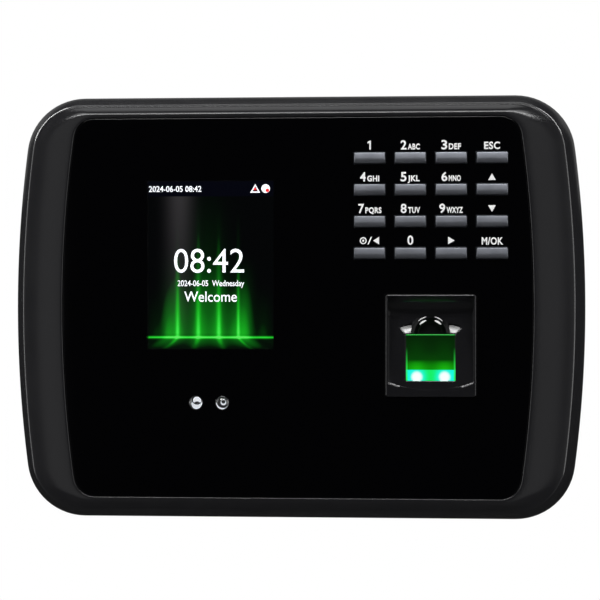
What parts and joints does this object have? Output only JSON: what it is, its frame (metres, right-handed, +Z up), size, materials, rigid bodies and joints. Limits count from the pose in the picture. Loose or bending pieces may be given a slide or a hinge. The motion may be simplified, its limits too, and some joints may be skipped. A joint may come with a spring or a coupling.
{
  "type": "fingerprint scanner terminal",
  "caption": "Wall-hung fingerprint time and access terminal: bowed black case, glossy front panel, colour display, number keys and a lit finger guide.",
  "frame": {"origin": "middle of the wall plate's four screw holes, on the plane of the wall", "axes": "+X to the right seen from the front, +Y into the wall, +Z up; the front faces -Y"},
  "size_m": [0.2, 0.0385, 0.148],
  "materials": {
    "case_plastic": "black ABS, moulded with a fine satin texture",
    "panel_acrylic": "polished acrylic, printed black on its back",
    "guide_plastic": "black ABS, semi-gloss",
    "key_silver": "silver-painted ABS",
    "scanner_glass": "optical glass, lit green from below",
    "display": "lit colour display",
    "clear_lens": "clear moulded lens",
    "lens_glass": "small camera lens",
    "lamp": "white-green lamp",
    "galvanised_steel": "zinc-plated sheet",
    "plated_steel": "nickel-plated",
    "blackened_steel": "black zinc",
    "foam_rubber": "closed-cell foam",
    "silicone": "moulded silicone rubber",
    "tape": "adhesive tape",
    "inner_plastic": "black moulding",
    "white_plastic": "white nylon",
    "green_plastic": "green nylon",
    "red_plastic": "red acetal",
    "flex_cable": "polyimide film",
    "circuit_board": "solder-masked glass fibre",
    "gold_plate": "gold-plated domes",
    "capacitor_can": "bare aluminium can",
    "speaker_paper": "treated paper",
    "lead_sheath": "PVC sheath"
  },
  "bodies": {
    "wall_plate": {"wall_plate": "galvanised_steel"},
    "terminal": {"rear_cover": "case_plastic", "front_shell": "case_plastic", "seam_gasket": "foam_rubber", "front_panel": "panel_acrylic", "panel_tape": "tape", "case_screws": "blackened_steel", "board_screws": "plated_steel", "lcd_glass": "display", "lcd_tray": "plated_steel", "lcd_bracket": "inner_plastic", "lcd_ribbon": "flex_cable", "status_lens_left": "clear_lens", "status_lens_right": "clear_lens", "status_board": "circuit_board", "sensor_frame": "guide_plastic", "sensor_prism": "scanner_glass", "sensor_box": "inner_plastic", "sensor_lens": "lens_glass", "sensor_board": "circuit_board", "sensor_leds": "lamp", "sensor_screws": "plated_steel", "sensor_ribbon": "flex_cable", "keypad_mat": "silicone", "keypad_board": "circuit_board", "contact_domes": "gold_plate", "keypad_ribbon": "flex_cable", "main_board": "circuit_board", "board_chips": "inner_plastic", "capacitors": "capacitor_can", "cell_holder": "white_plastic", "coin_cell": "plated_steel", "ethernet_socket": "plated_steel", "power_socket": "inner_plastic", "door_terminal": "green_plastic", "usb_socket": "plated_steel", "speaker_frame": "inner_plastic", "speaker_cone": "speaker_paper", "speaker_leads": "lead_sheath", "tamper_switch": "inner_plastic"},
    "lock_screw": {"lock_screw": "blackened_steel"},
    "key_1": {"key_1": "key_silver"},
    "key_2": {"key_2": "key_silver"},
    "key_3": {"key_3": "key_silver"},
    "key_escape": {"key_escape": "key_silver"},
    "key_4": {"key_4": "key_silver"},
    "key_5": {"key_5": "key_silver"},
    "key_6": {"key_6": "key_silver"},
    "key_up": {"key_up": "key_silver"},
    "key_7": {"key_7": "key_silver"},
    "key_8": {"key_8": "key_silver"},
    "key_9": {"key_9": "key_silver"},
    "key_down": {"key_down": "key_silver"},
    "key_left": {"key_left": "key_silver"},
    "key_0": {"key_0": "key_silver"},
    "key_right": {"key_right": "key_silver"},
    "key_ok": {"key_ok": "key_silver"},
    "tamper_plunger": {"tamper_plunger": "red_plastic"},
    "usb_cover": {"usb_cover": "silicone"}
  },
  "joints": [
    {"name": "lift_off", "type": "slide", "parent": "wall_plate", "child": "terminal", "axis": [0, 0, 1], "range_m": [0, 0.008]},
    {"name": "lock_screw_out", "type": "slide", "parent": "wall_plate", "child": "lock_screw", "axis": [0, 0, -1], "range_m": [0, 0.014]},
    {"name": "press_key_1", "type": "slide", "parent": "terminal", "child": "key_1", "axis": [0, 1, 0], "range_m": [0, 0.0008], "stiffness_N_per_m": 1500, "springref_m": -0.0003},
    {"name": "press_key_2", "type": "slide", "parent": "terminal", "child": "key_2", "axis": [0, 1, 0], "range_m": [0, 0.0008], "stiffness_N_per_m": 1500, "springref_m": -0.0003},
    {"name": "press_key_3", "type": "slide", "parent": "terminal", "child": "key_3", "axis": [0, 1, 0], "range_m": [0, 0.0008], "stiffness_N_per_m": 1500, "springref_m": -0.0003},
    {"name": "press_key_escape", "type": "slide", "parent": "terminal", "child": "key_escape", "axis": [0, 1, 0], "range_m": [0, 0.0008], "stiffness_N_per_m": 1500, "springref_m": -0.0003},
    {"name": "press_key_4", "type": "slide", "parent": "terminal", "child": "key_4", "axis": [0, 1, 0], "range_m": [0, 0.0008], "stiffness_N_per_m": 1500, "springref_m": -0.0003},
    {"name": "press_key_5", "type": "slide", "parent": "terminal", "child": "key_5", "axis": [0, 1, 0], "range_m": [0, 0.0008], "stiffness_N_per_m": 1500, "springref_m": -0.0003},
    {"name": "press_key_6", "type": "slide", "parent": "terminal", "child": "key_6", "axis": [0, 1, 0], "range_m": [0, 0.0008], "stiffness_N_per_m": 1500, "springref_m": -0.0003},
    {"name": "press_key_up", "type": "slide", "parent": "terminal", "child": "key_up", "axis": [0, 1, 0], "range_m": [0, 0.0008], "stiffness_N_per_m": 1500, "springref_m": -0.0003},
    {"name": "press_key_7", "type": "slide", "parent": "terminal", "child": "key_7", "axis": [0, 1, 0], "range_m": [0, 0.0008], "stiffness_N_per_m": 1500, "springref_m": -0.0003},
    {"name": "press_key_8", "type": "slide", "parent": "terminal", "child": "key_8", "axis": [0, 1, 0], "range_m": [0, 0.0008], "stiffness_N_per_m": 1500, "springref_m": -0.0003},
    {"name": "press_key_9", "type": "slide", "parent": "terminal", "child": "key_9", "axis": [0, 1, 0], "range_m": [0, 0.0008], "stiffness_N_per_m": 1500, "springref_m": -0.0003},
    {"name": "press_key_down", "type": "slide", "parent": "terminal", "child": "key_down", "axis": [0, 1, 0], "range_m": [0, 0.0008], "stiffness_N_per_m": 1500, "springref_m": -0.0003},
    {"name": "press_key_left", "type": "slide", "parent": "terminal", "child": "key_left", "axis": [0, 1, 0], "range_m": [0, 0.0008], "stiffness_N_per_m": 1500, "springref_m": -0.0003},
    {"name": "press_key_0", "type": "slide", "parent": "terminal", "child": "key_0", "axis": [0, 1, 0], "range_m": [0, 0.0008], "stiffness_N_per_m": 1500, "springref_m": -0.0003},
    {"name": "press_key_right", "type": "slide", "parent": "terminal", "child": "key_right", "axis": [0, 1, 0], "range_m": [0, 0.0008], "stiffness_N_per_m": 1500, "springref_m": -0.0003},
    {"name": "press_key_ok", "type": "slide", "parent": "terminal", "child": "key_ok", "axis": [0, 1, 0], "range_m": [0, 0.0008], "stiffness_N_per_m": 1500, "springref_m": -0.0003},
    {"name": "tamper_press", "type": "slide", "parent": "terminal", "child": "tamper_plunger", "axis": [0, -1, 0], "range_m": [0, 0.001], "stiffness_N_per_m": 150, "springref_m": -0.001},
    {"name": "usb_cover_hinge", "type": "hinge", "parent": "terminal", "child": "usb_cover", "pos_m": [0.0396, -0.01155, -0.0727], "axis": [0, 1, 0], "range_deg": [0, 100]}
  ]
}
